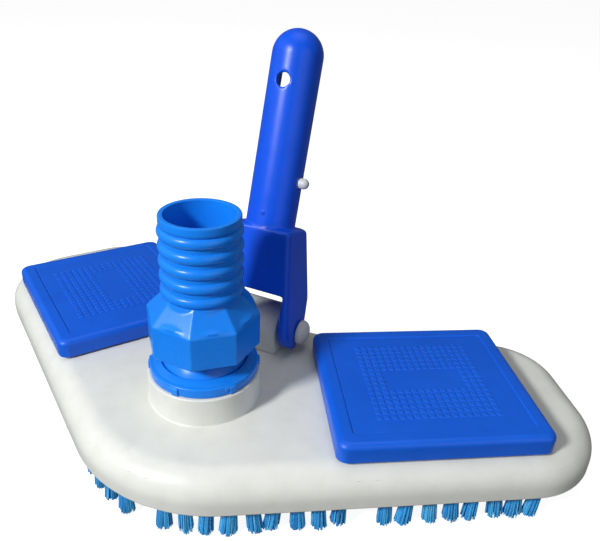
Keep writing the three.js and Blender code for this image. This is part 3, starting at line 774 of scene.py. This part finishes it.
piece(
    "swivel_ball_turned", ball_mesh(), SWIVEL_BLUE, "ball", replaces=["swivel_ball"]
)
GRIPS, GRIP_TURN = 6, math.radians(2.6)
grips = [
    placed(grip_mesh(), Matrix.Rotation(GRIP_TURN + math.radians(60 * i), 4, "Z"))
    for i in range(GRIPS)
]
piece(
    "lock_ring_moulded", merged(lock_ring_mesh(), *grips), SWIVEL_BLUE, "head",
    replaces=["lock_ring"],
)

OCTANT = 40  # points round each eighth of the flare
SHARPNESS = 240  # how crisp the octagon's corners are


def flare_ring(corner_r, floor_r, z):
    """An octagon with slightly rounded corners, never closer to the axis than floor_r."""
    apothem = corner_r * math.cos(TAU / 16)
    ring = []
    for k in range(8 * OCTANT):
        local = (k % OCTANT) / OCTANT * TAU / 8 - TAU / 16
        near = [math.cos(local + i * TAU / 8) for i in (-1, 0, 1)]
        peak = max(near)
        reach = peak + math.log(sum(math.exp(SHARPNESS * (n - peak)) for n in near)) / SHARPNESS
        radius = max(apothem / reach, floor_r)
        angle = -math.pi / 2 + FLARE_TURN + TAU * k / (8 * OCTANT)
        ring.append((radius * math.cos(angle), radius * math.sin(angle), z))
    return ring


def connector_mesh():
    corner = FLARE_R
    skirt = [
        (0.8, FLARE_FOOT), (0.2, FLARE_FOOT + 0.25), (0, FLARE_FOOT + 0.8),
        (0, FLARE_SHOULDER - 0.9), (0.1, FLARE_SHOULDER - 0.3), (0.45, FLARE_SHOULDER + 0.3),
    ]
    rings = [flare_ring(corner - inset, 0, z) for inset, z in skirt]
    slope = (FLARE_R - NECK_R) / (FLARE_TOP - FLARE_SHOULDER)
    steps = 14
    for i in range(1, steps + 1):
        z = FLARE_SHOULDER + 0.9 + (FLARE_TOP + 0.6 - FLARE_SHOULDER - 0.9) * i / steps
        dish = GROOVE_R + 0.4 + max(0.0, (62.5 - z) / 5.5) ** 2 * 2.6
        rings.append(flare_ring(corner - slope * (z - FLARE_SHOULDER), dish, z))
    profile = [(GROOVE_R + 0.05, 62.3)]
    for i in range(5):
        z = RIB_Z + i * RIB_PITCH
        for s in range(13):
            t = s / 12
            bulge = math.sin(math.pi * t) ** 0.62
            profile.append((GROOVE_R + (RIB_R - GROOVE_R) * bulge, z - 2.75 + 5.5 * t))
    profile += [
        (SPIGOT_R - 0.1, 100.2), (SPIGOT_R, 101), (SPIGOT_R, SPIGOT_TOP - 0.7),
        (SPIGOT_R - 0.25, SPIGOT_TOP - 0.15), (SPIGOT_R - 0.8, SPIGOT_TOP),
        (BORE_R + 0.7, SPIGOT_TOP), (BORE_R + 0.15, SPIGOT_TOP - 0.2), (BORE_R, SPIGOT_TOP - 0.8),
        (BORE_R, 80), (BORE_R, 56), (STEM_R - BALL_WALL, 51), (STEM_R - BALL_WALL, 49.6),
        (SOCKET_R, 49.5), (SOCKET_R, 48), (SOCKET_R + 0.5, 47), (SOCKET_R + 0.5, 44.6),
        (SOCKET_R, 43.6), (SOCKET_R, FLARE_FOOT + 0.3), (SOCKET_R + 0.3, FLARE_FOOT),
        (20.8, FLARE_FOOT), (21, FLARE_FOOT + 0.3), (21, 47.4), (21.4, 47.8), (24.6, 47.8),
        (25, 47.4), (25, FLARE_FOOT + 0.3), (25.3, FLARE_FOOT),
    ]
    rings += [flare_ring(0, r, z) for r, z in profile]
    return skin(rings, wrap=True)


piece(
    "hose_connector_moulded", connector_mesh(), SWIVEL_BLUE, "connector",
    replaces=["hose_connector"], crease=50,
)


# ------------------------------------------------------------------ pivot
LUG_R, LUG_HALF, LUG_BOSS = 14.5, 17.5, 20.6
PIN_R, PIN_HOLE, PIN_HEAD, PIN_DOME = 3.9, 4.2, 7.5, 5.5
PIN_SEAT = 27.3
PIN_Z = 11.4  # pin above the flat top


def rod(radius, low, high, segments=64):
    return lathe([(0, low), (radius, low), (radius, high), (0, high)], segments, wrap=False)


def prism_x(points, low, high):
    """A profile of (y, z) drawn out along X."""
    return skin([[(x, y, z) for y, z in points] for x in (low, high)])


def lug_mesh():
    profile = arc((0, 0), LUG_R, 0, math.pi, 40) + [(-LUG_R, 0.3 - PIN_Z), (LUG_R, 0.3 - PIN_Z)]
    boss = placed(rod(LUG_R / 2, -LUG_BOSS, LUG_BOSS), along_x)
    solid = fused(prism_x(profile, -LUG_HALF, LUG_HALF), boss)
    bored = cut(solid, placed(rod(PIN_HOLE, -LUG_BOSS - 1, LUG_BOSS + 1), along_x))
    return softened(bored, 0.5, 5)


def dome(radius, height, base, steps=14):
    points = []
    for i in range(steps):
        a = math.pi / 2 * i / steps
        points.append((radius * math.cos(a) ** 0.9, base + 1 + (height - 1) * math.sin(a)))
    return points + [(0, base + height)]


def pin_mesh():
    tail = -PIN_SEAT - 2.6
    shank = [(0, tail), (PIN_R - 0.6, tail), (PIN_R, tail + 0.6), (PIN_R, PIN_SEAT)]
    head = [(PIN_HEAD - 0.3, PIN_SEAT), (PIN_HEAD, PIN_SEAT + 0.3)]
    return placed(lathe(shank + head + dome(PIN_HEAD, PIN_DOME, PIN_SEAT), 64, wrap=False), along_x)


def cap_mesh():
    socket = [(0, PIN_SEAT + 3), (PIN_HOLE, PIN_SEAT + 3), (PIN_HOLE, PIN_SEAT)]
    rim = [(PIN_HEAD - 0.3, PIN_SEAT), (PIN_HEAD, PIN_SEAT + 0.3)]
    turned = lathe(socket + rim + dome(PIN_HEAD, PIN_DOME, PIN_SEAT), 64, wrap=False)
    return placed(turned, mirror_x @ along_x)


piece("pivot_lug_moulded", lug_mesh(), WHITE, "head", PIVOT, ["pivot_lug"])
piece("pivot_pin_turned", pin_mesh(), NYLON, "head", PIVOT, ["pivot_pin"])
piece("pin_cap_turned", cap_mesh(), NYLON, "head", PIVOT, ["pin_cap"])


# ------------------------------------------------------------------ handle
TUBE_Y, TUBE_R, TUBE_BORE, TUBE_DOME = -7.56, 14.6, 11.4, 157.1
SHOULDER, SHOULDER_HALF, PIN_HALF, GAP_HALF, BRIDGE = 61, 19.5, 27, 21, 23.5
FOOT_Y, FOOT_Z, FOOT_R = -3.5, 6.5, 16.6
BUTTON_Z, BUTTON_R, BUTTON_HOLE = 88.1, 3.1, 3.5
CORD_Z, CORD_R = 142.2, 4
WINDOW_LOW, WINDOW_TOP = 127, 154  # back of the tube open behind the cord hole
CLIP_HALF, PROUD = 8.3, 5.3


def fork_section(z, inset=0.0):
    """Rounded outline of the fork at a height: corners tight at the front and easy at the rear."""
    half = SHOULDER_HALF + (PIN_HALF - SHOULDER_HALF) * (1 - max(z, 0) / SHOULDER) - inset
    if z >= FOOT_Z:
        t = (z - FOOT_Z) / (SHOULDER - FOOT_Z)
        front = -20.1 - 2.46 * t
        rear = 13.1 + 2.9 * (z - FOOT_Z) / 12.5 if z < 19 else 16 - 8.36 * (z - 19) / 42
    else:
        reach = math.sqrt(max(FOOT_R**2 - (z - FOOT_Z) ** 2, 0.5))
        front, rear = FOOT_Y - reach, FOOT_Y + reach
    front, rear = front + inset, rear - inset
    room = (rear - front) / 2 - 0.1
    fore, aft = min(3.2, room), min(7.0, room)
    corners = [(-half, front, fore), (half, front, fore), (half, rear, aft), (-half, rear, aft)]
    return [(x, y, z) for x, y in rounded(corners, steps=8)]


def fork_mesh():
    foot = [FOOT_Z - FOOT_R * math.sin(math.radians(a)) for a in range(88, 0, -8)]
    heights = foot + [FOOT_Z + 4 * i for i in range(14)]
    rings = [fork_section(z) for z in heights]
    rings += [fork_section(SHOULDER - 1.6), fork_section(SHOULDER - 0.5, 0.5)]
    rings += [fork_section(SHOULDER, 1.6)]
    window = block((2 * GAP_HALF, 80, 60), (0, 0, BRIDGE - 30))
    return cut(skin(rings), window)


def domed_rod(radius, low):
    end = arc((0, TUBE_DOME), radius, 0, math.pi / 2, 20)[:-1]
    turned = lathe([(0, low), (radius, low)] + end + [(0, TUBE_DOME + radius)], 96, wrap=False)
    return placed(turned, moved(0, TUBE_Y, 0))


def handle_mesh():
    solid = fused(fork_mesh(), domed_rod(TUBE_R, SHOULDER - 10))
    window = (2 * TUBE_BORE, 40, WINDOW_TOP - WINDOW_LOW)
    hollow = cut(
        solid,
        domed_rod(TUBE_BORE, BRIDGE - 1),
        placed(rod(PIN_HOLE, -40, 40), along_x),
        placed(rod(BUTTON_HOLE, 0, 40), moved(0, TUBE_Y, BUTTON_Z) @ along_x),
        placed(rod(CORD_R, -40, 0), moved(0, TUBE_Y, CORD_Z) @ along_y),
        block(window, (0, TUBE_Y + 20, (WINDOW_LOW + WINDOW_TOP) / 2)),
    )
    return softened(hollow, 0.7, 5)


def gate_mark():
    """Small round stub left on the front of the tube by the mould."""
    profile = [(0, -0.6), (1.5, -0.6), (1.5, 0.1), (1.2, 0.35)]
    profile += [(0.9, 0.3), (0.7, 0.75), (0.3, 0.95), (0, 1)]
    on_tube = moved(0.8, TUBE_Y - TUBE_R + 0.1, 68.8) @ Matrix.Rotation(math.pi / 2, 4, "X")
    return placed(lathe(profile, 32, wrap=False), on_tube)


def button_mesh():
    foot = CLIP_HALF + 0.3
    tip = TUBE_R + PROUD
    profile = rounded(
        [(0, foot, 0), (4.5, foot, 0.2), (4.5, foot + 1.2, 0.2), (BUTTON_R, foot + 1.2, 0)],
        closed=False,
    )
    cap = arc((0, tip - BUTTON_R), BUTTON_R, 0, TAU / 4, 12)[:-1]
    return placed(lathe(profile + cap + [(0, tip)], 48, wrap=False), moved(0, TUBE_Y, BUTTON_Z) @ along_x)


piece(
    "handle_moulded", merged(handle_mesh(), gate_mark()), HANDLE_BLUE, "pole_handle",
    HANDLE, ["handle"], crease=60,
)
piece("snap_button_turned", button_mesh(), NYLON, "button", HANDLE, ["snap_button"])


# ------------------------------------------------------------------ underside
def screw_mesh(head_r, head_h, shank_r, length):
    """Pan-head screw pointing up, with a cross recess; its seat is at z = 0."""
    head = [(0, -head_h), (head_r * 0.55, -head_h)]
    for i in range(1, 7):
        a = math.pi / 2 * i / 6
        head.append((head_r * (0.55 + 0.45 * math.sin(a)), -head_h * (0.35 + 0.65 * math.cos(a))))
    shank = [(head_r, -0.3), (shank_r, -0.3), (shank_r, length - shank_r * 1.6)]
    shank += [(0.2, length), (0, length)]
    body = lathe(head + shank, 32, wrap=False)
    arm, wide = head_r * 0.62, head_r * 0.17
    cross = ((arm, wide), (wide, arm))
    slots = [block((2 * a, 2 * b, head_h), (0, 0, -head_h - 0.05)) for a, b in cross]
    return cut(body, fused(*slots))


COVER_HEAD, STRIP_HEAD = 2.4, 1.6  # heights of the screw heads
cover_screw = screw_mesh(4, COVER_HEAD, 1.7, 10)
strip_screw = screw_mesh(2.7, STRIP_HEAD, 1.2, 9)
for name in sorted(n for n in nodes if "screw" in n):
    small = name.startswith("strip")
    low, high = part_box(name)
    seat = low.z + (STRIP_HEAD if small else COVER_HEAD) * MM
    turn = Matrix.Rotation(dice.uniform(0, math.pi / 2), 4, "Z")
    middle = moved((low.x + high.x) / 2, (low.y + high.y) / 2, seat)
    piece(
        "driven_" + name, strip_screw if small else cover_screw, STEEL, "head",
        middle @ Matrix.Scale(MM, 4) @ turn, [name],
    )


def boss_mesh(radius, low, high):
    profile = [(0, low), (radius - 0.3, low), (radius, low + 0.3), (radius, high), (0, high)]
    return lathe(profile, 32, wrap=False)


def underside_mesh():
    """Ribs and screw bosses under the roof."""
    parts = []
    length = TIP_U - 30 - EDGE_R
    for side in (1, -1):
        middle = 30 + length / 2 - COVER_U
        rib = block((length, 2, 8), (side * middle, 0, -5), 0.4)
        parts.append(placed(rib, wing_matrix(side)))
        parts.append(placed(boss_mesh(5, -5, -1), moved(side * 11, (PIN.y - swivel_y) / MM, 0)))
    for name in sorted(n for n in nodes if n.startswith("strip_screw")):
        low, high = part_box(name)
        x, y = (low.x + high.x) / 2 / MM, ((low.y + high.y) / 2 - swivel_y) / MM
        parts.append(placed(boss_mesh(3, -14.2, -5), moved(x, y, 0)))
    return merged(*parts)


piece("underside_ribs", underside_mesh(), WHITE, "head")

carried_over = {
    "ball_seal": RUBBER, "ball_seat": NYLON, "spring_clip": STEEL,
    "weight_right": IRON, "weight_left": IRON,
}
carried_over.update({n: STRIP_BLUE for n in nodes if n.startswith("brush_strip")})
for name, finish in carried_over.items():
    mesh = nodes[name].data
    mesh.materials.clear()
    mesh.materials.append(finish)


# ------------------------------------------------------------------ camera, floor and light
def camera_matrix(place, azimuth, pitch, roll):
    ahead = Vector((-math.sin(azimuth), math.cos(azimuth), 0))
    forward = math.cos(pitch) * ahead - math.sin(pitch) * Vector((0, 0, 1))
    right = forward.cross(Vector((0, 0, 1))).normalized()
    up = right.cross(forward)
    r = right * math.cos(roll) + up * math.sin(roll)
    u = -right * math.sin(roll) + up * math.cos(roll)
    turn = Matrix((r, u, -forward)).transposed().to_4x4()
    return Matrix.Translation(place) @ turn


FOCAL_LENGTH, SENSOR = 36.82, 36
CAMERA_PLACE = Vector((0.15407, -0.25867, 0.25156))
AZIMUTH, PITCH, ROLL = math.radians(24.233), math.radians(27.444), math.radians(2.899)

lens = bpy.data.cameras.new("camera")
lens.lens, lens.sensor_width, lens.sensor_fit = FOCAL_LENGTH, SENSOR, "HORIZONTAL"
lens.clip_start, lens.clip_end = 0.01, 20
camera = bpy.data.objects.new("camera", lens)
bpy.context.scene.collection.objects.link(camera)
camera.matrix_world = camera_matrix(CAMERA_PLACE, AZIMUTH, PITCH, ROLL)
bpy.context.scene.camera = camera


def floor():
    bm = bmesh.new()
    bmesh.ops.create_circle(bm, cap_ends=True, radius=6, segments=64)
    mesh = bpy.data.meshes.new("floor")
    bm.to_mesh(mesh)
    bm.free()
    made, tree, shader = material("pale_floor")
    paper = ramp(tree, noise_at(tree, 3.0), (0.40, 0.40, 0.40), (0.42, 0.42, 0.42))
    tree.links.new(paper, shader.inputs["Base Color"])
    shader.inputs["Roughness"].default_value = 0.9
    shader.inputs["Emission Color"].default_value = (1, 1, 1, 1)
    shader.inputs["Emission Strength"].default_value = 0.9
    mesh.materials.append(made)
    placed_floor = bpy.data.objects.new("floor", mesh)
    placed_floor.location.z = cad_bounds[0].z - 0.0005
    placed_floor.visible_diffuse = placed_floor.visible_glossy = False
    bpy.context.scene.collection.objects.link(placed_floor)
    placed_floor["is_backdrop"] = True


def backdrop():
    """A pale dome far behind everything, seen by the camera only, so that it lights nothing."""
    bm = bmesh.new()
    bmesh.ops.create_uvsphere(bm, u_segments=64, v_segments=32, radius=8)
    mesh = bpy.data.meshes.new("backdrop")
    bm.to_mesh(mesh)
    bm.free()
    made, tree, shader = material("pale_backdrop")
    shader.inputs["Base Color"].default_value = (0, 0, 0, 1)
    shader.inputs["Emission Color"].default_value = (1, 1, 1, 1)
    shader.inputs["Emission Strength"].default_value = 0.95
    mesh.materials.append(made)
    dome_behind = bpy.data.objects.new("backdrop", mesh)
    bpy.context.scene.collection.objects.link(dome_behind)
    dome_behind.visible_diffuse = dome_behind.visible_glossy = dome_behind.visible_shadow = False
    dome_behind.visible_transmission = False
    dome_behind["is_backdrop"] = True


def lamp(name, place, aim, size, power):
    data = bpy.data.lights.new(name, "AREA")
    data.shape, data.size, data.energy = "DISK", size, power
    made = bpy.data.objects.new(name, data)
    bpy.context.scene.collection.objects.link(made)
    made.location = place
    made.rotation_euler = (Vector(aim) - Vector(place)).to_track_quat("-Z", "Y").to_euler()


floor()
backdrop()
lamp("key", (-0.33, -0.88, 0.74), (0, 0, 0.05), 0.2, 14)
lamp("left", (-0.9, -0.3, 0.7), (0, 0, 0.05), 1.0, 1.2)
lamp("right", (1.0, -0.5, 0.5), (0, 0, 0.05), 1.0, 2.2)
lamp("top", (0, 0.2, 1.6), (0, 0, 0), 1.2, 4.5)

world = bpy.data.worlds.new("studio")
bpy.context.scene.world = world
world.use_nodes = True
world.node_tree.nodes["Background"].inputs["Color"].default_value = (1, 1, 1, 1)
world.node_tree.nodes["Background"].inputs["Strength"].default_value = 0.14
bpy.context.scene.view_settings.view_transform = "Standard"

boxes = {"cad": cad_bounds, "visual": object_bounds()}
{k: [list(v[0]), list(v[1])] for k, v in boxes.items()}
